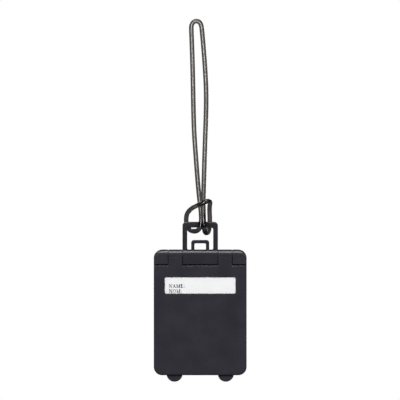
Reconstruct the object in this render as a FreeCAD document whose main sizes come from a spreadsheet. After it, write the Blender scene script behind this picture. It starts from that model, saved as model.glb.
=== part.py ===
import FreeCAD, Part
import math
import os

import Sketcher

# Luggage tag in the shape of a trolley suitcase. A thin lid with a name window hinges at
# the top of a shallow tray, and a round cord is hitched to the trolley handle.
# The part's origin is on the inside of the cord's top bend, where the tag hangs, with +Z up
# and the lid facing -Y. Every piece is drawn in the case's own frame: x = 0 on the middle
# of the case, y = 0 half way through its thickness, z = 0 at its top edge.

DIMENSIONS = [
    # case
    ("case_centre", 2.1),
    ("case_top", -140.2),
    ("case_width", 57.5),
    ("case_height", 77.8),
    ("case_depth", 6.6),
    ("corner_radius", 5.2),
    ("top_rounding", 3.2),
    ("edge_rounding", 1.2),
    ("wall", 1.4),
    ("lid_wall", 1.4),
    # parting of lid and tray
    ("lid_depth", 1.85),
    ("parting_gap", 0.15),
    ("block_height", 9.05),
    ("centre_half", 10.75),
    ("corner_start", 20.05),
    ("knuckle_gap", 0.4),
    ("seam_rounding", 0.2),
    ("lid_top_rounding", 0.4),
    # hinge
    ("hinge_drop", 3.3),
    ("barrel_radius", 3.3),
    ("barrel_clearance", 0.3),
    ("swing_radius", 7.2),
    ("boss_radius", 2.9),
    ("boss_reach", 0.6),
    ("boss_clearance", 0.15),
    ("boss_end_gap", 0.1),
    ("trough_top", 5.5),
    ("pin_radius", 0.75),
    ("press_bore", 0.74),
    ("running_bore", 0.82),
    ("pin_recess", 0.5),
    ("pin_chamfer", 0.15),
    ("pin_grip", 5.0),
    # shallow grip groove across each knuckle
    ("groove_radius", 1.6),
    ("groove_depth", 0.12),
    ("groove_length", 5.6),
    ("groove_drop", 4.4),
    # inside of tray and lid
    ("tray_top", 10.9),
    ("tray_radius", 3.8),
    ("lip_top", 11.2),
    ("lip_clearance", 0.2),
    ("lip_wall", 0.8),
    ("lip_depth", 0.9),
    ("rib_width", 1.0),
    ("rib_spacing", 16.0),
    ("rib_end", 3.0),
    ("notch_width", 11.0),
    ("notch_size", 0.8),
    # window, card and film
    ("window_width", 43.8),
    ("window_height", 10.05),
    ("window_top", 17.15),
    ("window_radius", 0.9),
    ("window_rounding", 0.35),
    ("card_width", 51.0),
    ("card_top", 12.3),
    ("card_height", 62.6),
    ("card_radius", 2.0),
    ("card_front", 1.0),
    ("card_thick", 0.35),
    ("film_thick", 0.25),
    # handles
    ("handle_width", 22.0),
    ("handle_rise", 17.2),
    ("handle_depth", 2.6),
    ("handle_leg", 2.95),
    ("handle_bar", 3.6),
    ("handle_radius", 2.4),
    ("handle_inner", 1.25),
    ("handle_rounding", 0.95),
    ("root_depth", 3.0),
    ("root_cover", 0.3),
    ("carry_width", 11.2),
    ("carry_rise", 5.9),
    ("carry_depth", 2.0),
    ("carry_leg", 2.05),
    ("carry_bar", 2.1),
    ("carry_radius", 1.7),
    ("carry_inner", 0.8),
    ("carry_rounding", 0.6),
    ("tongue_width", 16.0),
    ("tongue_depth", 1.4),
    ("tongue_reach", 4.0),
    ("tongue_gap", 0.05),
    # wheels
    ("wheel_radius", 5.0),
    ("wheel_offset", 15.9),
    ("wheel_raise", 0.85),
    ("wheel_depth", 3.6),
    ("wheel_rounding", 0.6),
    # cord
    ("cord_diameter", 2.95),
    ("weld_gap", 0.1),
    # how far a cutting tool reaches past what it cuts, and a root into what it joins
    ("overshoot", 1.0),
    ("rooting", 0.1),
]

# The cord's route, one turn of the closed loop, in the case's frame. It starts at the weld
# behind the trolley handle's bar, crosses in front as the bight, curls round the bar on the
# left, goes up the left strand, over the top, down the right strand and round the bar again.
CORD_ROUTE = [
    (5.90, 3.5, 16.0),
    (6.05, 3.4, 18.5),
    (5.80, 2.0, 23.0),
    (5.80, -1.2, 26.9),
    (6.35, -3.7, 29.5),
    (4.70, -6.5, 30.2),
    (1.90, -7.1, 28.9),
    (-1.60, -6.0, 27.5),
    (-5.70, -3.7, 25.4),
    (-8.40, 0.3, 22.1),
    (-8.85, 3.2, 17.6),
    (-7.90, 3.7, 13.7),
    (-5.80, 1.9, 11.4),
    (-2.00, -2.4, 11.2),
    (0.20, -3.3, 13.8),
    (0.75, -3.05, 18.5),
    (0.45, -2.0, 24.0),
    (-0.65, -1.05, 32.5),
    (-1.60, -0.8, 43.0),
    (-2.75, -0.3, 58.0),
    (-3.80, 0.0, 73.0),
    (-4.20, 0.0, 87.0),
    (-4.45, 0.0, 102.0),
    (-4.75, 0.0, 115.0),
    (-5.10, 0.0, 126.0),
    (-5.42, 0.0, 134.2),
    (-5.60, 0.0, 139.3),
    (-3.70, 0.0, 141.7),
    (-0.85, 0.0, 141.6),
    (0.75, 0.0, 139.3),
    (1.27, 0.0, 134.3),
    (2.00, 0.0, 126.0),
    (2.95, 0.0, 114.0),
    (3.75, 0.0, 99.0),
    (3.70, -0.1, 86.0),
    (3.15, -0.3, 71.0),
    (2.65, -0.8, 56.0),
    (2.30, -1.4, 43.0),
    (2.00, -2.4, 34.0),
    (1.95, -4.2, 26.5),
    (2.10, -5.7, 19.0),
    (2.35, -5.5, 13.6),
    (3.10, -3.1, 10.2),
    (4.90, 1.8, 10.2),
    (5.75, 3.6, 13.5),
]
# How far an arc of the route reaches from its corner, as a share of its shorter run.
ARC_SHARE = 0.45

# A coordinate this close to a level lies on it.
NEAR = 1e-4
# Where a sketch's lines are drawn before its constraints set their real sizes.
ROUGH_HALF = 5.0
ROUGH_RADIUS = 1.0

doc = FreeCAD.newDocument("luggage_tag")


def write_sheet():
    """Put the driving dimensions in a spreadsheet with one alias each."""
    table = doc.addObject("Spreadsheet::Sheet", "dims")
    for row, (alias, value) in enumerate(DIMENSIONS, start=1):
        table.set(f"A{row}", alias)
        table.set(f"B{row}", str(value))
        table.setAlias(f"B{row}", alias)
    doc.recompute()
    return table


sheet = write_sheet()


def dim(alias):
    """A driving dimension in millimetres."""
    return float(sheet.get(alias))


def bind(feature, **expressions):
    """Bind a feature's properties to expressions of the sheet's cells."""
    for name, expression in expressions.items():
        feature.setExpression(name.replace("__", "."), expression)
    return feature


def box(name, length, width, height, x, y, z):
    """A block with its lowest corner at x, y, z."""
    block = doc.addObject("Part::Box", name)
    bind(block, Length=length, Width=width, Height=height)
    bind(block, Placement__Base__x=x, Placement__Base__y=y, Placement__Base__z=z)
    return block


def rod(name, radius, length, x, drop):
    """A cylinder along +X that starts at x, on y = 0, a drop below the top edge."""
    cylinder = doc.addObject("Part::Cylinder", name)
    cylinder.Placement.Rotation = FreeCAD.Rotation(FreeCAD.Vector(0, 1, 0), 90)
    bind(cylinder, Radius=radius, Height=length)
    bind(cylinder, Placement__Base__x=x, Placement__Base__z=f"-({drop})")
    return cylinder


def cut(name, base, *tools):
    """The base without the tools."""
    removed = tools[0]
    if len(tools) > 1:
        removed = fuse(name + "_tools", *tools)
    result = doc.addObject("Part::Cut", name)
    result.Base = base
    result.Tool = removed
    return result


def fuse(name, *shapes):
    """The shapes joined in one."""
    result = doc.addObject("Part::MultiFuse", name)
    result.Shapes = list(shapes)
    result.Refine = True
    return result


def common(name, first, second):
    """What the two shapes share."""
    result = doc.addObject("Part::Common", name)
    result.Base = first
    result.Tool = second
    return result


def front_plane(body):
    """The body's own XZ plane, which faces -Y."""
    for plane in body.Origin.OriginFeatures:
        if plane.Role == "XZ_Plane":
            return plane
    raise RuntimeError("the body has no XZ plane")


def rounded_sketch(body, name, width, high, low, radius, back):
    """A rounded rectangle centred on x = 0, from z = low to z = high, in the plane y = back."""
    sketch = body.newObject("Sketcher::SketchObject", name)
    sketch.AttachmentSupport = (front_plane(body), [""])
    sketch.MapMode = "FlatFace"
    sketch.setExpression("AttachmentOffset.Base.z", f"-({back})")
    corners = ((1, 1), (-1, 1), (-1, -1), (1, -1))
    for quarter, (side, level) in enumerate(corners):
        centre = FreeCAD.Vector(side * ROUGH_HALF, level * ROUGH_HALF, 0)
        circle = Part.Circle(centre, FreeCAD.Vector(0, 0, 1), ROUGH_RADIUS)
        start = quarter * math.pi / 2
        sketch.addGeometry(Part.ArcOfCircle(circle, start, start + math.pi / 2), False)
    for quarter in range(4):
        following = (quarter + 1) % 4
        first = sketch.getPoint(quarter, 2)
        second = sketch.getPoint(following, 1)
        line = sketch.addGeometry(Part.LineSegment(first, second), False)
        sketch.addConstraint(Sketcher.Constraint("Tangent", quarter, 2, line, 1))
        sketch.addConstraint(Sketcher.Constraint("Tangent", line, 2, following, 1))
        if quarter:
            sketch.addConstraint(Sketcher.Constraint("Equal", 0, quarter))
    top, left, bottom, right = 4, 5, 6, 7
    sketch.addConstraint(Sketcher.Constraint("Horizontal", bottom))
    for line in (left, right):
        sketch.addConstraint(Sketcher.Constraint("Vertical", line))
    sketch.addConstraint(Sketcher.Constraint("Symmetric", top, 1, top, 2, -2))
    edge = ROUGH_HALF + ROUGH_RADIUS
    sizes = (
        ("radius", Sketcher.Constraint("Radius", 0, ROUGH_RADIUS), radius),
        ("width", Sketcher.Constraint("DistanceX", left, 1, right, 1, 2 * edge), width),
        ("high", Sketcher.Constraint("DistanceY", -1, 1, top, 1, edge), high),
        ("low", Sketcher.Constraint("DistanceY", -1, 1, bottom, 1, -edge), low),
    )
    for label, constraint, expression in sizes:
        index = sketch.addConstraint(constraint)
        sketch.renameConstraint(index, label)
        sketch.setExpression("Constraints." + label, expression)
    sketch.Visibility = False
    return sketch


def pad(body, name, sketch, length):
    """Material from the sketch's plane towards -Y."""
    feature = body.newObject("PartDesign::Pad", name)
    feature.Profile = sketch
    bind(feature, Length=length)
    return feature


def pocket(body, name, sketch, length):
    """A recess from the sketch's plane towards -Y, with a check that it removed material."""
    doc.recompute()
    before = body.Shape.Volume
    feature = body.newObject("PartDesign::Pocket", name)
    feature.Profile = sketch
    feature.Reversed = True
    bind(feature, Length=length)
    doc.recompute()
    if body.Shape.Volume > before - NEAR:
        raise RuntimeError(f"{name} removed nothing")
    return feature


def plate(name, width, high, low, radius, back, depth):
    """A body that is one rounded plate, its back face at y = back and its front at back - depth."""
    body = doc.addObject("PartDesign::Body", name)
    sketch = rounded_sketch(body, name + "_outline", width, high, low, radius, back)
    pad(body, name + "_pad", sketch, depth)
    return body


def edges_where(shape, test):
    """Numbers of the shape's edges for which the test of their bounding box holds."""
    return [number for number, edge in enumerate(shape.Edges, start=1) if test(edge.BoundBox)]


def flat_at(box_of_edge, level):
    """Whether an edge lies in the plane y = level or y = -level."""
    flat = box_of_edge.YMax - box_of_edge.YMin < NEAR
    return flat and abs(abs(box_of_edge.YMax) - level) < NEAR


def round_edges(name, base, edges):
    """A Part fillet of the base, from (edge number, start radius, end radius)."""
    feature = doc.addObject("Part::Fillet", name)
    feature.Base = base
    feature.Edges = edges
    return feature


def round_body(body, name, level, radius):
    """Round the body's edges that lie on its front and back faces."""
    doc.recompute()
    base = body.Tip
    numbers = edges_where(base.Shape, lambda place: flat_at(place, level))
    feature = body.newObject("PartDesign::Fillet", name)
    feature.Base = (base, [f"Edge{number}" for number in numbers])
    bind(feature, Radius=radius)


def make_case_form():
    """The closed case's outer form: a fully rounded top edge and softly rounded other edges."""
    blank = plate(
        "case_blank", "dims.case_width", "0", "-dims.case_height", "dims.corner_radius",
        "dims.case_depth / 2", "dims.case_depth",
    )
    doc.recompute()
    half = dim("case_depth") / 2
    corner = dim("corner_radius")
    top = dim("top_rounding")
    side = dim("edge_rounding")
    edges = []
    for number in edges_where(blank.Shape, lambda place: flat_at(place, half)):
        edge = blank.Shape.Edges[number - 1]
        place = edge.BoundBox
        if place.ZMin > -NEAR:
            edges.append((number, top, top))
        elif place.ZMin > -corner - NEAR:
            rising = edge.Vertexes[0].Point.z < edge.Vertexes[-1].Point.z
            edges.append((number, side, top) if rising else (number, top, side))
        else:
            edges.append((number, side, side))
    return round_edges("case_form", blank, edges)


def round_seams(name, block):
    """Round a hinge block's edges beside the knuckles and over the lid."""
    doc.recompute()
    sides = (dim("centre_half"), dim("corner_start"))
    front = -dim("case_depth") / 2

    def on_seam(place):
        beside = place.XMax - place.XMin < NEAR and any(
            abs(abs(place.XMax) - side) < NEAR for side in sides
        )
        over_lid = place.YMax < front + NEAR and place.ZMax < -dim("block_height") + NEAR
        under = beside and place.ZMax < -dim("block_height") + NEAR
        return (beside or over_lid) and not under

    radius = dim("seam_rounding")
    return round_edges(
        name, block, [(number, radius, radius) for number in edges_where(block.Shape, on_seam)]
    )


def mirrored(name, source):
    """The source mirrored in the plane x = 0."""
    feature = doc.addObject("Part::Mirroring", name)
    feature.Source = source
    feature.Normal = (1, 0, 0)
    return feature


def both_sides(name, source):
    """The source and its mirror image."""
    return fuse(name, source, mirrored(name + "_mirror", source))


def make_knuckle_space():
    """Space that the knuckles need in the tray: over the trough, and round the barrels."""
    above = box(
        "space_above", "dims.corner_start - dims.centre_half",
        "dims.case_depth + 2 * dims.overshoot", "dims.trough_top + dims.overshoot",
        "dims.centre_half", "-dims.case_depth / 2 - dims.overshoot", "-dims.trough_top",
    )
    around = rod(
        "space_around", "dims.barrel_radius + dims.barrel_clearance",
        "dims.corner_start - dims.centre_half", "dims.centre_half", "dims.hinge_drop",
    )
    return both_sides("knuckle_space", fuse("knuckle_space_right", above, around))


def make_bore(name, radius, start, length):
    """A bore on the hinge axis and its mirror image."""
    return both_sides(name, rod(name + "_right", radius, length, start, "dims.hinge_drop"))


def make_bosses():
    """Bosses on the corner blocks that fill the gaps beside the knuckles, round the pins."""
    return make_bore(
        "corner_boss", "dims.boss_radius", "dims.corner_start - dims.boss_reach",
        "dims.boss_reach + dims.rooting",
    )


def make_centre_bosses():
    """The same on the centre block."""
    return make_bore(
        "centre_boss", "dims.boss_radius", "dims.centre_half - dims.rooting",
        "dims.boss_reach + dims.rooting",
    )


def make_counterbores():
    """Room for the bosses in both ends of the knuckles."""
    radius = "dims.boss_radius + dims.boss_clearance"
    length = "dims.boss_reach + dims.boss_end_gap"
    inner = make_bore("inner_counterbore", radius, "dims.centre_half", length)
    outer = make_bore("outer_counterbore", radius, f"dims.corner_start - ({length})", length)
    return inner, outer


def make_grooves():
    """A shallow groove across the front of each knuckle."""
    middle = "(dims.centre_half + dims.corner_start) / 2"
    right = rod(
        "groove_right", "dims.groove_radius", "dims.groove_length",
        f"{middle} - dims.groove_length / 2", "dims.groove_drop",
    )
    bind(right, Placement__Base__y="dims.groove_depth - dims.groove_radius - dims.case_depth / 2")
    return both_sides("grooves", right)


def make_wheels():
    """Two half discs under the case, rooted in the tray's bottom wall."""
    disc = doc.addObject("Part::Cylinder", "wheel_disc")
    disc.Placement.Rotation = FreeCAD.Rotation(FreeCAD.Vector(1, 0, 0), -90)
    bind(disc, Radius="dims.wheel_radius", Height="dims.wheel_depth")
    bind(
        disc, Placement__Base__x="dims.wheel_offset",
        Placement__Base__y="dims.lid_depth + dims.parting_gap - dims.case_depth / 2",
        Placement__Base__z="-dims.case_height + dims.wheel_raise",
    )
    doc.recompute()
    rims = edges_where(disc.Shape, lambda place: place.YMax - place.YMin < NEAR)
    radius = dim("wheel_rounding")
    rounded = round_edges("wheel_rounded", disc, [(number, radius, radius) for number in rims])
    inside = box(
        "wheel_inside", "3 * dims.wheel_radius", "2 * dims.case_depth", "2 * dims.wheel_radius",
        "dims.wheel_offset - 1.5 * dims.wheel_radius", "-dims.case_depth",
        "-dims.case_height + dims.wall",
    )
    return both_sides("wheels", cut("wheel_half", rounded, inside))


def make_ribs():
    """Three upright ribs on the tray's floor that the card lies on."""
    card_back = "(dims.card_thick - dims.card_front)"
    floor = "(dims.case_depth / 2 - dims.wall)"
    ribs = []
    for place, side in (("left", -1), ("middle", 0), ("right", 1)):
        ribs.append(box(
            "rib_" + place, "dims.rib_width", f"{floor} - {card_back}",
            "dims.card_height - 2 * dims.rib_end - dims.tongue_reach",
            f"{side} * dims.rib_spacing - dims.rib_width / 2", card_back,
            "-dims.card_top - dims.card_height + dims.rib_end",
        ))
    return ribs


def make_rear_shell(case_form):
    """Tray with the corner blocks, the trough for the knuckles, card ribs and wheels."""
    parting = "(dims.lid_depth + dims.parting_gap - dims.case_depth / 2)"
    tray = box(
        "tray_block", "dims.case_width", "dims.case_depth", "dims.case_height",
        "-dims.case_width / 2", parting, "-dims.case_height",
    )
    corner = box(
        "corner_block", "dims.case_width / 2 - dims.corner_start", "dims.case_depth",
        "dims.block_height", "dims.corner_start", "-dims.case_depth / 2", "-dims.block_height",
    )
    corner_form = round_seams("corner_rounded", common("corner_form", case_form, corner))
    solid = fuse(
        "shell_form", common("tray_form", case_form, tray), both_sides("corners", corner_form),
    )
    hollow = plate(
        "tray_hollow", "dims.case_width - 2 * dims.wall", "-dims.tray_top",
        "-dims.case_height + dims.wall", "dims.tray_radius", "dims.case_depth / 2 - dims.wall",
        "dims.case_depth",
    )
    seat = box(
        "handle_seat", "2 * dims.centre_half", "2 * dims.case_depth", "2 * dims.block_height",
        "-dims.centre_half", "-dims.case_depth", "-dims.block_height",
    )
    slot = box(
        "tongue_slot", "dims.tongue_width + 2 * dims.tongue_gap",
        "dims.tongue_depth + dims.tongue_gap",
        "dims.tray_top - dims.block_height + 2 * dims.overshoot",
        "-dims.tongue_width / 2 - dims.tongue_gap",
        "dims.case_depth / 2 - dims.wall - dims.tongue_depth - dims.tongue_gap",
        "-dims.tray_top - dims.overshoot",
    )
    notch = box(
        "nail_notch", "dims.notch_width", "dims.notch_size + dims.overshoot",
        "dims.notch_size + dims.overshoot", "-dims.notch_width / 2",
        f"{parting} - dims.overshoot", "-dims.case_height - dims.overshoot",
    )
    bores = make_bore(
        "shell_bore", "dims.press_bore", "dims.corner_start - dims.overshoot",
        "dims.case_width / 2 - dims.corner_start + 2 * dims.overshoot",
    )
    emptied = cut("shell_emptied", solid, hollow, seat, slot, notch, make_knuckle_space())
    joined = fuse("shell_joined", emptied, make_wheels(), *make_ribs(), make_bosses())
    return cut("rear_shell", joined, bores)


def make_front_cover(case_form):
    """Lid with the window, the locating lip and two hinge knuckles."""
    lid = box(
        "lid_block", "dims.case_width", "dims.lid_depth", "dims.case_height",
        "-dims.case_width / 2", "-dims.case_depth / 2", "-dims.case_height",
    )
    form = common("lid_form", case_form, lid)
    lid_back = "(dims.lid_depth - dims.case_depth / 2)"
    lip_outer = "dims.case_width - 2 * dims.wall - 2 * dims.lip_clearance"
    lip_low = "(-dims.case_height + dims.wall + dims.lip_clearance)"
    lip = plate(
        "lip_ring", lip_outer, "-dims.lip_top", lip_low, "dims.tray_radius",
        f"{lid_back} + dims.lip_depth", "dims.lip_depth + dims.rooting",
    )
    recess = plate(
        "lid_recess", f"{lip_outer} - 2 * dims.lip_wall", "-dims.lip_top - dims.lip_wall",
        f"{lip_low} + dims.lip_wall", "dims.tray_radius - dims.lip_wall",
        f"{lid_back} + dims.lip_depth + dims.overshoot",
        f"{lid_back} + dims.lip_depth + dims.overshoot + dims.case_depth / 2 - dims.lid_wall",
    )
    window = plate(
        "window_hole", "dims.window_width", "-dims.window_top",
        "-dims.window_top - dims.window_height", "dims.window_radius", "0", "dims.case_depth",
    )
    above = box(
        "swing_above", "2 * dims.case_width", "dims.case_depth", "dims.hinge_drop + dims.overshoot",
        "-dims.case_width", "-dims.case_depth / 2 - dims.overshoot", "-dims.hinge_drop",
    )
    around = rod(
        "swing_around", "dims.swing_radius", "2 * dims.case_width", "-dims.case_width",
        "dims.hinge_drop",
    )
    bores = make_bore(
        "cover_bore", "dims.running_bore", "dims.centre_half - dims.overshoot",
        "dims.corner_start - dims.centre_half + 2 * dims.overshoot",
    )
    shaped = round_front(
        "lid_shaped", cut("lid_cut", form, above, around), dim("lid_top_rounding"),
        -dim("lip_top"), -dim("block_height"),
    )
    joined = fuse("lid_joined", shaped, both_sides("knuckles", make_knuckle()), lip)
    opened = cut("lid_opened", joined, recess, window, bores, *make_counterbores(), make_grooves())
    return round_front(
        "front_cover", opened, dim("window_rounding"),
        -dim("window_top") - dim("window_height") - NEAR, -dim("window_top") + NEAR,
    )


def round_front(name, lid, radius, low, high):
    """Round those edges of the lid's front face that lie between two heights."""
    doc.recompute()
    front = -dim("case_depth") / 2

    def chosen(place):
        return place.YMax < front + NEAR and place.ZMin > low and place.ZMax < high

    numbers = edges_where(lid.Shape, chosen)
    return round_edges(name, lid, [(number, radius, radius) for number in numbers])


def make_knuckle():
    """One hinge knuckle: a barrel round the pin and the leaf that joins it to the lid."""
    length = "dims.corner_start - dims.centre_half - 2 * dims.knuckle_gap"
    start = "dims.centre_half + dims.knuckle_gap"
    barrel = rod("barrel", "dims.barrel_radius", length, start, "dims.hinge_drop")
    leaf = box(
        "leaf", length, "dims.lid_depth", "dims.tray_top - dims.hinge_drop", start,
        "-dims.case_depth / 2", "-dims.tray_top",
    )
    joined = fuse("knuckle_joined", barrel, leaf)
    doc.recompute()
    ends = edges_where(joined.Shape, lambda place: place.XMax - place.XMin < NEAR)
    radius = dim("seam_rounding")
    return round_edges("knuckle", joined, [(number, radius, radius) for number in ends])


def frame_body(name):
    """An upright loop with a rounded opening, both filleted on the front and back edges."""
    depth = f"dims.{name}_depth"
    body = doc.addObject("PartDesign::Body", name + "_frame")
    outline = rounded_sketch(
        body, name + "_outline", f"dims.{name}_width", f"dims.{name}_rise", "-dims.root_depth",
        f"dims.{name}_radius", f"{depth} / 2",
    )
    pad(body, name + "_pad", outline, depth)
    opening = rounded_sketch(
        body, name + "_opening", f"dims.{name}_width - 2 * dims.{name}_leg",
        f"dims.{name}_rise - dims.{name}_bar", "-dims.root_cover", f"dims.{name}_inner",
        f"{depth} / 2",
    )
    pocket(body, name + "_pocket", opening, depth)
    round_body(body, name + "_round", dim(f"{name}_depth") / 2, f"dims.{name}_rounding")
    return body


def make_handle(case_form):
    """Centre block with the trolley handle, the carry handle and the tongue under it."""
    block = box(
        "centre_block", "2 * dims.centre_half", "dims.case_depth", "dims.block_height",
        "-dims.centre_half", "-dims.case_depth / 2", "-dims.block_height",
    )
    rounded = round_seams("centre_rounded", common("centre_form", case_form, block))
    tongue = box(
        "tongue", "dims.tongue_width", "dims.tongue_depth", "dims.tongue_reach + dims.overshoot",
        "-dims.tongue_width / 2", "dims.case_depth / 2 - dims.wall - dims.tongue_depth",
        "-dims.block_height - dims.tongue_reach",
    )
    joined = fuse(
        "handle_joined", rounded, tongue, frame_body("handle"), frame_body("carry"),
        make_centre_bosses(),
    )
    bores = make_bore(
        "handle_bore", "dims.press_bore", "dims.centre_half - dims.pin_grip - dims.rooting",
        "dims.pin_grip + dims.overshoot",
    )
    return cut("trolley_handle", joined, bores)


def make_pin(name, side):
    """One steel pin, from just inside the case's side to its grip in the centre block."""
    length = "(dims.case_width / 2 - dims.pin_recess - dims.centre_half + dims.pin_grip)"
    start = "(dims.centre_half - dims.pin_grip)"
    if side < 0:
        start = f"(-{start} - {length})"
    wire = rod(name + "_wire", "dims.pin_radius", length, start, "dims.hinge_drop")
    doc.recompute()
    ends = edges_where(wire.Shape, lambda place: place.XMax - place.XMin < NEAR)
    pin = doc.addObject("Part::Chamfer", name)
    pin.Base = wire
    size = dim("pin_chamfer")
    pin.Edges = [(number, size, size) for number in ends]
    return pin


def make_card():
    """The address card, on the ribs."""
    return plate(
        "address_card", "dims.card_width", "-dims.card_top", "-dims.card_top - dims.card_height",
        "dims.card_radius", "dims.card_thick - dims.card_front", "dims.card_thick",
    )


def make_film():
    """The clear film over the card."""
    return plate(
        "clear_film", "dims.card_width", "-dims.card_top", "-dims.card_top - dims.card_height",
        "dims.card_radius", "-dims.card_front", "dims.film_thick",
    )


def cord_path(points):
    """Straight runs joined by tangent arcs, and the smallest arc radius."""
    edges = []
    radii = []
    last = points[0]
    for before, corner, after in zip(points, points[1:], points[2:]):
        arriving = (corner - before).normalize()
        leaving = (after - corner).normalize()
        half_turn = arriving.getAngle(leaving) / 2
        reach = ARC_SHARE * min((corner - before).Length, (after - corner).Length)
        radius = reach / math.tan(half_turn)
        inward = (leaving - arriving).normalize()
        centre = corner + inward * (radius / math.cos(half_turn))
        start = corner - arriving * reach
        end = corner + leaving * reach
        middle = centre - inward * radius
        edges.append(Part.LineSegment(last, start).toShape())
        edges.append(Part.Arc(start, middle, end).toShape())
        radii.append(radius)
        last = end
    edges.append(Part.LineSegment(last, points[-1]).toShape())
    return Part.Wire(edges), radii


def make_strap():
    """The round cord: one turn from the weld back to the weld."""
    points = [FreeCAD.Vector(*place) for place in CORD_ROUTE]
    closing = (points[-1] - points[0]).normalize()
    points.append(points[0] + closing * dim("weld_gap"))
    path, radii = cord_path(points)
    section = Part.Circle(points[0], points[1] - points[0], dim("cord_diameter") / 2)
    tube = path.makePipeShell([Part.Wire(section.toShape())], True, False)
    expected = math.pi * (dim("cord_diameter") / 2) ** 2 * path.Length
    print("cord length", round(path.Length, 1), "volume ratio", round(tube.Volume / expected, 4))
    print("cord arc radii", [round(radius, 1) for radius in radii])
    strap = doc.addObject("Part::Feature", "strap_loop")
    strap.Shape = tube
    return strap


def place(name, piece):
    """Label the piece and move it from the case's frame to the tag's."""
    piece.Label = name
    bind(piece, Placement__Base__x="dims.case_centre", Placement__Base__z="dims.case_top")


def check_objects():
    """Stop if any object failed without raising."""
    for feature in doc.Objects:
        if "Invalid" in feature.State or "Error" in feature.State:
            raise RuntimeError(f"{feature.Name} failed: {feature.State}")


def write_pieces(pieces):
    """Write each piece to its own STEP file once all of them are sound."""
    for name, piece in pieces.items():
        if piece.Shape.isNull() or not piece.Shape.isValid():
            raise RuntimeError(f"{name} has no valid shape")
        if len(piece.Shape.Solids) != 1:
            raise RuntimeError(f"{name} has {len(piece.Shape.Solids)} solids")
    os.makedirs("parts", exist_ok=True)
    for name, piece in pieces.items():
        piece.Shape.exportStep(f"parts/{name}.step")
        print(name, round(piece.Shape.Volume, 1), piece.Shape.BoundBox)


case_form = make_case_form()
pieces = {
    "rear_shell": make_rear_shell(case_form),
    "front_cover": make_front_cover(case_form),
    "trolley_handle": make_handle(case_form),
    "hinge_pin_left": make_pin("pin_left", -1),
    "hinge_pin_right": make_pin("pin_right", 1),
    "address_card": make_card(),
    "clear_film": make_film(),
    "strap_loop": make_strap(),
}
for name, piece in pieces.items():
    place(name, piece)
doc.recompute()
check_objects()
write_pieces(pieces)
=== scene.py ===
"""Looks of the luggage tag: a suitcase-shaped case with a lid, hung on a hitched round cord.

Sizes of the tag are in millimetres in the case's own frame, as in the part's source: x = 0
on the middle of the case, y = 0 half way through its thickness, z = 0 at its top edge. at()
turns them into metres in the row's frame. The camera's distance, the floor and the lights
are in metres.
"""

import math

import bmesh
import bpy
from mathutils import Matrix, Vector


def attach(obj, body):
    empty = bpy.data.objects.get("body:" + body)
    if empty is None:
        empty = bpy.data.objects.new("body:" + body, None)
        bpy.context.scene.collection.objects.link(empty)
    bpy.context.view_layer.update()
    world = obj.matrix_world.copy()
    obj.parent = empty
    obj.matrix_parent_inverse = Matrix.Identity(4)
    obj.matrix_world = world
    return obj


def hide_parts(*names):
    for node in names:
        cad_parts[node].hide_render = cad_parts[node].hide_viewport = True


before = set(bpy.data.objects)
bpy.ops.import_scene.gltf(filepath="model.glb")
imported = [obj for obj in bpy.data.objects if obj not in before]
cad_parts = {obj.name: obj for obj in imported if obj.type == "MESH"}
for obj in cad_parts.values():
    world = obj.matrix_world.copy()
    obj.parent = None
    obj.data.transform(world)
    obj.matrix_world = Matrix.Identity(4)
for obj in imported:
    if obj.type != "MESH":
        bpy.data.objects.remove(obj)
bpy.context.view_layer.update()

MM = 0.001
# Where the case's frame has its origin in the row's frame, along x and z.
CASE_CENTRE = 2.1
CASE_TOP = -140.2


def at(x, y, z):
    """A place in the case's frame, as metres in the row's frame."""
    return Vector((x + CASE_CENTRE, y, z + CASE_TOP)) * MM


# ---------------------------------------------------------------- camera

# The width of what the camera sees at the tag, in millimetres.
VIEW_WIDTH = 248.1
# The middle of the view, in the row's frame.
VIEW_CENTRE = Vector((1.98, 0.0, -109.5)) * MM
CAMERA_DISTANCE = 1.2
SENSOR = 36.0
NEAR_CLIP = 0.01
FAR_CLIP = 20


def make_camera():
    """A long lens that looks level along +Y at the middle of the tag."""
    data = bpy.data.cameras.new("camera")
    data.sensor_width = SENSOR
    data.lens = SENSOR * CAMERA_DISTANCE / (VIEW_WIDTH * MM)
    data.clip_start = NEAR_CLIP
    data.clip_end = FAR_CLIP
    camera = bpy.data.objects.new("camera", data)
    camera.location = VIEW_CENTRE - Vector((0, CAMERA_DISTANCE, 0))
    camera.rotation_euler = (math.radians(90), 0, 0)
    bpy.context.scene.collection.objects.link(camera)
    bpy.context.scene.camera = camera


make_camera()

# ---------------------------------------------------------------- helpers


def link(name, data):
    """A new object in the scene."""
    thing = bpy.data.objects.new(name, data)
    bpy.context.scene.collection.objects.link(thing)
    return thing


def mesh_piece(name, bm, material, body, smooth=False):
    """A mesh piece that rides on a body and takes its finish from a slot."""
    bmesh.ops.recalc_face_normals(bm, faces=bm.faces)
    mesh = bpy.data.meshes.new(name)
    bm.to_mesh(mesh)
    bm.free()
    mesh.materials.append(material)
    mesh.polygons.foreach_set("use_smooth", [smooth] * len(mesh.polygons))
    piece = link(name, mesh)
    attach(piece, body)
    return piece


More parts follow.
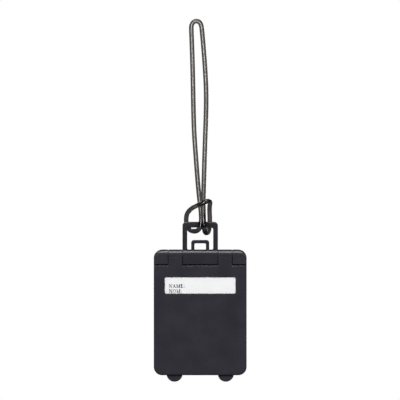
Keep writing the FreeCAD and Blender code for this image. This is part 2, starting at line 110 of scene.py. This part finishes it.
class Nodes:
    """A material's node tree with short ways to add and join nodes."""

    def __init__(self, name):
        self.material = bpy.data.materials.new(name)
        self.material.use_nodes = True
        self.tree = self.material.node_tree
        self.shader = self.tree.nodes["Principled BSDF"]
        self.output = self.tree.nodes["Material Output"]
        self.place = self.add("ShaderNodeTexCoord").outputs["Object"]

    def add(self, kind, inputs=None, **settings):
        """A node with its settings, and its inputs set to values or joined to sockets."""
        node = self.tree.nodes.new(kind)
        for key, value in settings.items():
            setattr(node, key, value)
        for key, value in (inputs or {}).items():
            self.feed(node.inputs[key], value)
        return node

    def feed(self, socket, value):
        """Join the socket to another, or set its value."""
        if isinstance(value, bpy.types.NodeSocket):
            self.tree.links.new(value, socket)
        else:
            socket.default_value = value

    def noise(self, scale, detail=2.0, rough=0.5, place=None):
        """Noise from 0 to 1, with scale in features per metre."""
        inputs = {
            "Vector": place or self.place, "Scale": scale, "Detail": detail, "Roughness": rough,
        }
        return self.add("ShaderNodeTexNoise", inputs).outputs["Fac"]

    def stretched(self, x, y, z):
        """The object's coordinates, each scaled."""
        inputs = {"Vector": self.place, "Scale": (x, y, z)}
        return self.add("ShaderNodeMapping", inputs).outputs["Vector"]

    def spread(self, value, low, high, start=0.3, end=0.7):
        """The value's range from start to end stretched over low to high."""
        inputs = {"Value": value, "From Min": start, "From Max": end, "To Min": low, "To Max": high}
        return self.add("ShaderNodeMapRange", inputs).outputs["Result"]

    def blend(self, factor, first, second):
        """A colour between two colours, by a Mix node whose sockets are found by type."""
        node = self.add("ShaderNodeMix", {"Factor": factor}, data_type="RGBA")
        colours = [socket for socket in node.inputs if socket.type == "RGBA"]
        self.feed(colours[0], first)
        self.feed(colours[1], second)
        return next(socket for socket in node.outputs if socket.type == "RGBA")

    def sum(self, first, second, share):
        """The first value and a share of the second."""
        inputs = {0: second, 1: share, 2: first}
        return self.add("ShaderNodeMath", inputs, operation="MULTIPLY_ADD").outputs["Value"]

    def bump(self, height, depth):
        """Relief of that depth in millimetres on the shader's normal."""
        inputs = {"Height": height, "Distance": depth * MM, "Strength": 1.0}
        normal = self.add("ShaderNodeBump", inputs).outputs["Normal"]
        self.feed(self.shader.inputs["Normal"], normal)

    def set(self, **values):
        """Set or join the shader's own sockets, named with _ for a space."""
        for key, value in values.items():
            self.feed(self.shader.inputs[key.replace("_", " ")], value)


def grey(level, warmth=0.0):
    """A colour near grey, its red up and its blue down by the warmth."""
    return (level * (1 + warmth), level, level * (1 - warmth), 1.0)


# The moulded plastic's red, green and blue, as shares of its level.
SLATE = (1.06, 1.0, 1.30)


def slate(level):
    """The faintly violet black of the moulded plastic."""
    return (*(level * share for share in SLATE), 1.0)


# ---------------------------------------------------------------- materials

CASE_TONE = 0.0265
HANDLE_TONE = 0.0215
# The plastic's darkest and palest shade, as shares of its tone, and the ink's of its level.
PLASTIC_SHADES = (0.86, 1.16)
INK_SHADES = (0.8, 1.3)


def plastic(name, tone):
    """Matt black moulded plastic with a fine spark-eroded grain."""
    nodes = Nodes(name)
    cloudy = nodes.noise(scale=90, detail=3)
    speckle = nodes.noise(scale=1400, detail=2)
    mixed = nodes.sum(cloudy, speckle, share=0.35)
    shade = nodes.spread(mixed, low=0.0, high=1.0, start=0.45, end=0.9)
    darkest, palest = (slate(tone * share) for share in PLASTIC_SHADES)
    grain = nodes.noise(scale=4200, detail=3, rough=0.6)
    ripple = nodes.noise(scale=700, detail=1)
    nodes.bump(nodes.sum(grain, ripple, share=0.4), depth=0.02)
    patches = nodes.noise(scale=260, detail=2)
    nodes.set(
        Base_Color=nodes.blend(shade, darkest, palest),
        Roughness=nodes.spread(patches, low=0.23, high=0.31), IOR=1.5,
    )
    return nodes.material


def steel():
    """Drawn steel wire with fine lines along it."""
    nodes = Nodes("pin_steel_drawn")
    along = nodes.stretched(0.05, 4, 4)
    lines = nodes.noise(scale=900, detail=3, rough=0.6, place=along)
    shade = nodes.spread(lines, low=0, high=1)
    nodes.bump(lines, depth=0.006)
    nodes.set(
        Base_Color=nodes.blend(shade, grey(0.42, warmth=0.01), grey(0.62, warmth=0.02)),
        Roughness=nodes.spread(lines, low=0.22, high=0.38), Metallic=1.0,
    )
    return nodes.material


def paper():
    """Smooth white card with faint fibres."""
    nodes = Nodes("card_stock")
    fibres = nodes.noise(scale=2600, detail=4, rough=0.7, place=nodes.stretched(1, 1, 0.35))
    cloud = nodes.noise(scale=120, detail=2)
    mixed = nodes.sum(cloud, fibres, share=0.5)
    shade = nodes.spread(mixed, low=0, high=1, start=0.5, end=1.0)
    nodes.bump(fibres, depth=0.012)
    nodes.set(
        Base_Color=nodes.blend(shade, grey(0.80, warmth=-0.004), grey(0.86, warmth=-0.006)),
        Roughness=nodes.spread(fibres, low=0.62, high=0.82), IOR=1.4,
    )
    return nodes.material


def film():
    """Clear glossy film, nearly unseen but for what it mirrors."""
    nodes = Nodes("film_clear")
    waves = nodes.noise(scale=55, detail=1)
    nodes.bump(waves, depth=0.05)
    nodes.set(
        Base_Color=grey(0.04), Roughness=nodes.spread(waves, low=0.06, high=0.12), Alpha=0.05,
        IOR=1.5,
    )
    return nodes.material


def ink(name, level):
    """Printed ink, a little uneven."""
    nodes = Nodes(name)
    patchy = nodes.noise(scale=5000, detail=3, rough=0.7)
    darkest, palest = (grey(level * share) for share in INK_SHADES)
    nodes.set(
        Base_Color=nodes.blend(nodes.spread(patchy, low=0, high=1), darkest, palest),
        Roughness=nodes.spread(patchy, low=0.45, high=0.65), IOR=1.45,
    )
    return nodes.material


# The cord's tint where it is clearest and where it is cloudy, then its painted rim shade and its
# painted hitch shade.
SMOKE_CLEAR = (0.62, 0.60, 0.57, 1)
SMOKE_CLOUD = (0.26, 0.25, 0.235, 1)
SMOKE_RIM_PAINTED_SHADE = (0.12, 0.117, 0.12, 1)
SMOKE_HITCH_PAINTED_SHADE = (0.085, 0.078, 0.092, 1)
SMOKE_DENSITY = 800.0
# Heights in the case's frame between which the painted shade of the black bar fades upwards from
# the hitch.
HITCH_SHADE_FULL = 16.0
HITCH_SHADE_GONE = 23.0


def smoke_pvc(name):
    """Clear PVC tinted smoke grey, with painted shade at its rim and near its hitch where it wraps
    the black bar.
    """
    nodes = Nodes(name)
    # Painted shade: away from the middle of its width the cord takes the dark rim colour. This
    # stands in for the dark surroundings that a round clear cord refracts at its edge.
    facing = nodes.add("ShaderNodeLayerWeight", {"Blend": 0.5}).outputs["Facing"]
    middle = nodes.spread(facing, low=1.0, high=0.0, start=0.01, end=0.10)
    cloud = nodes.spread(nodes.noise(scale=24, detail=1), low=0.0, high=1.0)
    tint = nodes.blend(middle, SMOKE_RIM_PAINTED_SHADE, nodes.blend(cloud, SMOKE_CLOUD, SMOKE_CLEAR))
    # Painted shade: towards the hitch the cord darkens to the hitch colour. This stands in for the
    # black bar that shows in the cord where it wraps the bar.
    height = nodes.add("ShaderNodeSeparateXYZ", {"Vector": nodes.place}).outputs["Z"]
    shade_full_level, shade_gone_level = (at(0, 0, z).z for z in (HITCH_SHADE_FULL, HITCH_SHADE_GONE))
    free = nodes.spread(height, low=0.0, high=1.0, start=shade_full_level, end=shade_gone_level)
    marks = nodes.noise(scale=900, detail=2, rough=0.6, place=nodes.stretched(1, 1, 0.12))
    nodes.bump(marks, depth=0.003)
    nodes.set(
        Base_Color=nodes.blend(free, SMOKE_HITCH_PAINTED_SHADE, tint), Transmission_Weight=1.0, IOR=1.52,
        Roughness=nodes.spread(marks, low=0.10, high=0.17), Specular_Tint=grey(0.0),
        Coat_Weight=1.0, Coat_Roughness=0.25, Coat_IOR=1.5,
    )
    smoke = nodes.add(
        "ShaderNodeVolumeAbsorption", {"Color": SMOKE_CLEAR, "Density": SMOKE_DENSITY},
    )
    nodes.feed(nodes.output.inputs["Volume"], smoke.outputs["Volume"])
    return nodes.material


SHELL_PLASTIC = plastic("shell_plastic_black", CASE_TONE)
COVER_PLASTIC = plastic("cover_plastic_black", CASE_TONE)
HANDLE_PLASTIC = plastic("handle_plastic_black", HANDLE_TONE)
STEEL = steel()
PAPER = paper()
FILM = film()
BLACK_INK = ink("ink_black", level=0.008)
GREY_INK = ink("ink_grey", level=0.22)
SMOKE_PVC = smoke_pvc("cord_smoke_pvc")

NODE_MATERIALS = {
    "rear_shell": SHELL_PLASTIC,
    "front_cover": COVER_PLASTIC,
    "trolley_handle": HANDLE_PLASTIC,
    "hinge_pin_left": STEEL,
    "hinge_pin_right": STEEL,
    "address_card": PAPER,
    "clear_film": FILM,
}


def dress_nodes():
    """Give every carried-over node its material."""
    for name, material in NODE_MATERIALS.items():
        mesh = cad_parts[name].data
        mesh.materials.clear()
        mesh.materials.append(material)


dress_nodes()

# ---------------------------------------------------------------- the cord

CORD_DIAMETER = 2.95
# The same points as the route in the part's source, from the weld round the bar, up through
# the loop and back.
CORD_ROUTE = [
    (5.90, 3.50, 16.0),
    (6.05, 3.40, 18.5),
    (5.80, 2.00, 23.0),
    (5.80, -1.20, 26.9),
    (6.35, -3.70, 29.5),
    (4.70, -6.50, 30.2),
    (1.90, -7.10, 28.9),
    (-1.60, -6.00, 27.5),
    (-5.70, -3.70, 25.4),
    (-8.40, 0.30, 22.1),
    (-8.85, 3.20, 17.6),
    (-7.90, 3.70, 13.7),
    (-5.80, 1.90, 11.4),
    (-2.00, -2.40, 11.2),
    (0.20, -3.30, 13.8),
    (0.75, -3.05, 18.5),
    (0.45, -2.00, 24.0),
    (-0.65, -1.05, 32.5),
    (-1.60, -0.80, 43.0),
    (-2.75, -0.30, 58.0),
    (-3.80, 0.00, 73.0),
    (-4.20, 0.00, 87.0),
    (-4.45, 0.00, 102.0),
    (-4.75, 0.00, 115.0),
    (-5.10, 0.00, 126.0),
    (-5.42, 0.00, 134.2),
    (-5.60, 0.00, 139.3),
    (-3.70, 0.00, 141.7),
    (-0.85, 0.00, 141.6),
    (0.75, 0.00, 139.3),
    (1.27, 0.00, 134.3),
    (2.00, 0.00, 126.0),
    (2.95, 0.00, 114.0),
    (3.75, 0.00, 99.0),
    (3.70, -0.10, 86.0),
    (3.15, -0.30, 71.0),
    (2.65, -0.80, 56.0),
    (2.30, -1.40, 43.0),
    (2.00, -2.40, 34.0),
    (1.95, -4.20, 26.5),
    (2.10, -5.70, 19.0),
    (2.35, -5.50, 13.6),
    (3.10, -3.10, 10.2),
    (4.90, 1.80, 10.2),
    (5.75, 3.60, 13.5),
]
# How far past its first point the loop comes back to meet itself.
WELD_GAP = 0.1
# How finely the cord is divided round its section, and along its line between points.
ROUND_STEPS = 9
RUN_STEPS = 14
BEAD_LENGTH = 1.5
# How far the bead's ends sink into the cord and its middle stands proud of it.
BEAD_SUNK = 0.02
BEAD_PROUD = 0.13
# Under 1, the bead's outline swells quickly from its ends and is flat in the middle.
BEAD_FLATNESS = 0.6
# Each unevenness round the bead: how many times round, how much and its start.
BEAD_WOBBLES = ((3, 0.012, 1.0), (7, 0.008, 0.0))
BEAD_RINGS = 12
BEAD_SIDES = 40


def cord_curve():
    """One open NURBS spline along the route, from the weld round to the weld."""
    first, last = Vector(CORD_ROUTE[0]), Vector(CORD_ROUTE[-1])
    end = first + (last - first).normalized() * WELD_GAP
    places = [at(*place) for place in (*CORD_ROUTE, tuple(end))]
    curve = bpy.data.curves.new("strap_cord", "CURVE")
    curve.dimensions = "3D"
    spline = curve.splines.new("NURBS")
    spline.points.add(len(places) - 1)
    for point, place in zip(spline.points, places):
        point.co = (*place, 1.0)
    spline.order_u = 3
    spline.use_endpoint_u = True
    spline.resolution_u = RUN_STEPS
    spline.use_smooth = True
    curve.bevel_depth = CORD_DIAMETER / 2 * MM
    curve.bevel_resolution = ROUND_STEPS
    curve.use_fill_caps = True
    return curve


def weld_bead():
    """The slightly proud band where the cord's two ends are welded."""
    first, second = Vector(CORD_ROUTE[0]), Vector(CORD_ROUTE[1])
    along = (second - first).normalized()
    centre = at(*first)
    turn = along.to_track_quat("Z", "X").to_matrix()
    radius = CORD_DIAMETER / 2 - BEAD_SUNK
    bm = bmesh.new()
    rings = []
    for step in range(BEAD_RINGS + 1):
        share = step / BEAD_RINGS
        height = (share - 0.5) * BEAD_LENGTH
        swell = radius + (BEAD_PROUD + BEAD_SUNK) * math.sin(math.pi * share) ** BEAD_FLATNESS
        ring = []
        for side in range(BEAD_SIDES):
            angle = 2 * math.pi * side / BEAD_SIDES
            wobble = 1 + sum(
                size * math.sin(times * angle + start) for times, size, start in BEAD_WOBBLES
            )
            local = Vector((math.cos(angle), math.sin(angle), 0)) * swell * wobble
            ring.append(bm.verts.new(centre + turn @ (local + Vector((0, 0, height))) * MM))
        rings.append(ring)
    for lower, upper in zip(rings, rings[1:]):
        for side in range(BEAD_SIDES):
            following = (side + 1) % BEAD_SIDES
            bm.faces.new((lower[side], lower[following], upper[following], upper[side]))
    bm.faces.new(rings[0])
    bm.faces.new(rings[-1])
    return mesh_piece("strap_weld", bm, SMOKE_PVC, "strap", smooth=True)


def make_strap():
    """The cord with its weld, in place of the plain tube."""
    curve = cord_curve()
    curve.materials.append(SMOKE_PVC)
    cord = link("strap_cord", curve)
    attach(cord, "strap")
    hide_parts("strap_loop")
    weld_bead()


make_strap()

# ---------------------------------------------------------------- print on the card

# The card's front face, along y.
CARD_FACE = -1.0
INK_DEPTH = 0.02
# How much further each stroke of a letter stands out than the one before.
LAYER_DEPTH = 0.003
# Widths of a letter's fine strokes and stems, and how high its serifs are. These and the
# letters' outlines are shares of the letter's height.
THIN = 0.13
THICK = 0.24
SERIF = 0.12


def slab(left, right, low, high):
    """A rectangle's corners."""
    return [(left, low), (right, low), (right, high), (left, high)]


def slant(top_left, top_right, foot_right, foot_left):
    """A sloping stroke's corners, from the top edge to the foot."""
    return [(foot_left, 0.0), (foot_right, 0.0), (top_right, 1.0), (top_left, 1.0)]


TOP = 1.0 - SERIF
# Each letter's width and straight strokes. The ring of O and the dots come in print_label().
GLYPHS = {
    "N": (0.95, [
        slab(0.15, 0.15 + THIN, 0, 1), slab(0.75, 0.75 + THIN, 0, 1),
        slant(0.06, 0.27, 0.82, 0.66), slab(0.03, 0.34, 0, SERIF), slab(0.63, 0.94, TOP, 1),
        slab(0.0, 0.2, TOP, 1),
    ]),
    "A": (0.92, [
        slant(0.40, 0.47, 0.20, 0.13), slant(0.38, 0.53, 0.84, 0.64),
        slab(0.24, 0.66, 0.30, 0.30 + THIN), slab(0.02, 0.32, 0, SERIF), slab(0.56, 0.94, 0, SERIF),
    ]),
    "M": (1.12, [
        slab(0.15, 0.15 + THIN, 0, 1), slab(0.80, 0.80 + THICK, 0, 1),
        slant(0.08, 0.29, 0.60, 0.46), slant(0.82, 0.90, 0.57, 0.50), slab(0.03, 0.34, 0, SERIF),
        slab(0.70, 1.08, 0, SERIF), slab(0.0, 0.2, TOP, 1), slab(0.85, 1.08, TOP, 1),
    ]),
    "E": (0.82, [
        slab(0.13, 0.13 + THICK, 0, 1), slab(0.02, 0.72, TOP, 1), slab(0.02, 0.76, 0, SERIF),
        slab(0.3, 0.55, 0.49, 0.49 + SERIF), slab(0.50, 0.55, 0.39, 0.65),
        slab(0.67, 0.72, 0.74, 1), slab(0.70, 0.76, 0, 0.28),
    ]),
    "L": (0.78, [
        slab(0.13, 0.13 + THICK, 0, 1), slab(0.02, 0.42, TOP, 1), slab(0.02, 0.72, 0, SERIF),
        slab(0.66, 0.72, 0, 0.30),
    ]),
    "T": (0.84, [
        slab(0.32, 0.32 + THICK, 0, 1), slab(0.03, 0.79, TOP, 1), slab(0.21, 0.61, 0, SERIF),
        slab(0.03, 0.08, 0.74, 1), slab(0.74, 0.79, 0.74, 1),
    ]),
    ":": (0.34, []),
    "O": (0.98, []),
}
ARC_SIDES = 28
DOT_RADIUS = 0.085
DOT_CENTRES = ((0.17, DOT_RADIUS), (0.17, 0.58))
# The half width and half height of the O's outer and inner outline.
OVALS = ((0.43, 0.52), (0.25, 0.455))
OVAL_CENTRE = (0.47, 0.5)
LETTER_GAP = 0.07

LABEL_HEIGHT = 2.25
PRINT_LEFT = -19.4
PRINT_RIGHT = 20.6
# Each label's text and foot.
LABELS = [("NAME:", -23.7), ("NOM:", -26.85), ("TEL:", -58.7)]
RULE_HEIGHT = 0.16
# Each ruled line's left end and foot. The last one follows the third label.
RULES = [
    (PRINT_LEFT, -31.6), (PRINT_LEFT, -37.6), (PRINT_LEFT, -43.6), (PRINT_LEFT, -49.6),
    (PRINT_LEFT, -55.6), (-11.6, -58.9),
]


def oval(centre, size):
    """Points round an ellipse, whose size is its half width and half height."""
    turns = [2 * math.pi * step / ARC_SIDES for step in range(ARC_SIDES)]
    return [
        (centre[0] + size[0] * math.cos(turn), centre[1] + size[1] * math.sin(turn))
        for turn in turns
    ]


def printed(bm, outline, layer=0):
    """A closed prism on the card's face over a convex outline in millimetres."""
    top = CARD_FACE - INK_DEPTH - LAYER_DEPTH * layer
    back = [bm.verts.new(at(x, CARD_FACE, z)) for x, z in outline]
    front = [bm.verts.new(at(x, top, z)) for x, z in outline]
    bm.faces.new(back)
    bm.faces.new(reversed(front))
    for index in range(len(outline)):
        following = (index + 1) % len(outline)
        bm.faces.new((back[following], back[index], front[index], front[following]))


def printed_ring(bm, outer, inner):
    """A closed ring on the card's face between two outlines."""
    loops = [
        [bm.verts.new(at(x, depth, z)) for x, z in outline]
        for outline in (outer, inner)
        for depth in (CARD_FACE, CARD_FACE - INK_DEPTH)
    ]
    outer_back, outer_front, inner_back, inner_front = loops
    rounds = (
        (outer_back, outer_front), (outer_front, inner_front), (inner_front, inner_back),
        (inner_back, outer_back),
    )
    for first, second in rounds:
        for index in range(len(first)):
            following = (index + 1) % len(first)
            bm.faces.new((first[index], first[following], second[following], second[index]))


def print_label(bm, text, foot):
    """One word in a bold serif face, from the print's left end."""
    left = PRINT_LEFT

    def scaled(outline):
        return [(left + x * LABEL_HEIGHT, foot + z * LABEL_HEIGHT) for x, z in outline]

    for letter in text:
        width, strokes = GLYPHS[letter]
        for layer, stroke in enumerate(strokes):
            printed(bm, scaled(stroke), layer)
        if letter == ":":
            for centre in DOT_CENTRES:
                printed(bm, scaled(oval(centre, (DOT_RADIUS, DOT_RADIUS))))
        if letter == "O":
            outer, inner = (oval(OVAL_CENTRE, size) for size in OVALS)
            printed_ring(bm, scaled(outer), scaled(inner))
        left += (width + LETTER_GAP) * LABEL_HEIGHT


def make_print():
    """Field labels and ruled lines on the address card."""
    bm = bmesh.new()
    for text, foot in LABELS:
        print_label(bm, text, foot)
    mesh_piece("card_labels", bm, BLACK_INK, "case")
    bm = bmesh.new()
    for left, foot in RULES:
        printed(bm, slab(left, PRINT_RIGHT, foot, foot + RULE_HEIGHT))
    mesh_piece("card_rules", bm, GREY_INK, "case")


make_print()

# ---------------------------------------------------------------- floor

FLOOR_LEVEL = -0.30
FLOOR_RADIUS = 1.6
FLOOR_SIDES = 96
# How far from its middle the floor starts and ends to fade into white.
FADE_START = 0.25
FADE_END = 0.60


def make_floor():
    """A pale floor that fades into the white surroundings."""
    bm = bmesh.new()
    bmesh.ops.create_circle(bm, cap_ends=True, segments=FLOOR_SIDES, radius=FLOOR_RADIUS)
    mesh = bpy.data.meshes.new("floor")
    bm.to_mesh(mesh)
    bm.free()
    floor = link("floor", mesh)
    floor.location = (CASE_CENTRE * MM, 0, FLOOR_LEVEL)
    nodes = Nodes("floor_pale")
    nodes.set(Base_Color=grey(0.86), Roughness=0.8)
    away = nodes.add("ShaderNodeVectorMath", {0: nodes.place}, operation="LENGTH")
    fade = nodes.spread(
        away.outputs["Value"], low=0.0, high=1.0, start=FADE_START, end=FADE_END,
    )
    glow = nodes.add("ShaderNodeEmission", {"Color": grey(1.0), "Strength": 1.0})
    shades = {0: fade, 1: nodes.shader.outputs["BSDF"], 2: glow.outputs["Emission"]}
    mix = nodes.add("ShaderNodeMixShader", shades)
    nodes.feed(nodes.output.inputs["Surface"], mix.outputs["Shader"])
    mesh.materials.append(nodes.material)
    floor.visible_glossy = False
    floor.visible_diffuse = False


make_floor()

# ---------------------------------------------------------------- light

# The surroundings' radiance where they light the tag, and where it mirrors them.
AMBIENT = 0.15
AMBIENT_GLOSS = 0.08

# Each softbox's azimuth from the camera's side, elevation, distance, width, height in
# metres, its radiance, and whether it lights matt surfaces and shows in glossy ones.
SOFTBOXES = [
    ("overhead", 0, 66, 1.1, 0.8, 0.42, 9.0, False, True),
    ("side_left", -98, 15, 1.3, 0.7, 0.7, 4.5, True, False),
    ("side_right", 98, 15, 1.3, 0.7, 0.7, 4.5, True, False),
    ("rear_fill", 180, 20, 1.3, 1.0, 0.8, 5.5, True, False),
    ("rear_strip", 205, 35, 1.3, 0.25, 0.8, 4.0, True, True),
]
# The pair that lights everything but the paper, which is lit from straight ahead so that
# the window's edges throw no shadow on it.
PLASTIC_BOXES = [
    ("front_left", -28, 24, 0.75, 0.35, 0.35, 9.6, True, False),
    ("front_right", 28, 24, 0.75, 0.35, 0.35, 9.6, True, False),
]
PAPER_BOXES = [("front_paper", 0, 3, 1.3, 0.5, 0.5, 25.0, True, False)]
PAPER_PIECES = ("address_card", "clear_film", "card_labels", "card_rules")
# Cool strips that only the glossy cord mirrors.
CORD_STRIPS = [
    ("cord_front", -5, 0, 1.3, 0.16, 0.8, 42.0, False, True),
    ("cord_rear", 175, 0, 1.3, 0.16, 0.8, 5.0, False, True),
]
CORD_PIECES = ("strap_cord", "strap_weld")
WHITE = (1.0, 1.0, 1.0)
COOL = (0.90, 0.94, 1.0)


def make_softbox(name, azimuth, elevation, distance, width, height, radiance, matt, mirrored):
    """An area light that faces the tag."""
    turn, rise = math.radians(azimuth), math.radians(elevation)
    out = Vector((
        math.sin(turn) * math.cos(rise), -math.cos(turn) * math.cos(rise), math.sin(rise),
    ))
    data = bpy.data.lights.new(name, "AREA")
    data.shape = "RECTANGLE"
    data.size = width
    data.size_y = height
    data.energy = radiance * math.pi * width * height
    lamp = link(name, data)
    lamp.location = VIEW_CENTRE + out * distance
    lamp.rotation_mode = "QUATERNION"
    lamp.rotation_quaternion = out.to_track_quat("Z", "Y")
    lamp.visible_diffuse = matt
    lamp.visible_glossy = mirrored
    lamp.visible_transmission = False
    return lamp


def light_some(name, softboxes, pieces, state="INCLUDE", tint=WHITE):
    """Softboxes of one tint that light only these pieces, or every piece but these."""
    chosen = bpy.data.collections.new(name)
    for piece in pieces:
        chosen.objects.link(bpy.data.objects[piece])
    for member in chosen.collection_objects:
        member.light_linking.link_state = state
    for softbox in softboxes:
        lamp = make_softbox(*softbox)
        lamp.data.color = tint
        lamp.light_linking.receiver_collection = chosen


def make_world():
    """White where it is seen, straight or through the cord, and dim where it lights the tag."""
    world = bpy.data.worlds.new("studio")
    world.use_nodes = True
    tree = world.node_tree
    tree.nodes.clear()
    path = tree.nodes.new("ShaderNodeLightPath").outputs

    def joined(kind, *sources):
        """A new node whose first inputs are joined to the sources."""
        node = tree.nodes.new(kind)
        for socket, source in zip(node.inputs, sources):
            tree.links.new(source, socket)
        return node

    shades = []
    for level in (AMBIENT, AMBIENT_GLOSS, 1.0):
        shade = tree.nodes.new("ShaderNodeBackground")
        shade.inputs["Color"].default_value = grey(1.0)
        shade.inputs["Strength"].default_value = level
        shades.append(shade.outputs["Background"])
    ambient, mirrored, seen = shades
    through = joined("ShaderNodeMath", path["Is Camera Ray"], path["Is Transmission Ray"])
    through.operation = "MAXIMUM"
    unseen = joined("ShaderNodeMixShader", path["Is Glossy Ray"], ambient, mirrored)
    mixed = joined(
        "ShaderNodeMixShader", through.outputs["Value"], unseen.outputs["Shader"], seen,
    )
    joined("ShaderNodeOutputWorld", mixed.outputs["Shader"])
    bpy.context.scene.world = world


for softbox in SOFTBOXES:
    make_softbox(*softbox)
light_some("cord_light", CORD_STRIPS, CORD_PIECES, tint=COOL)
light_some("paper_light", PAPER_BOXES, PAPER_PIECES)
light_some("plastic_light", PLASTIC_BOXES, PAPER_PIECES, state="EXCLUDE")
make_world()
bpy.context.scene.view_settings.view_transform = "Standard"

# ---------------------------------------------------------------- update

bpy.context.view_layer.update()
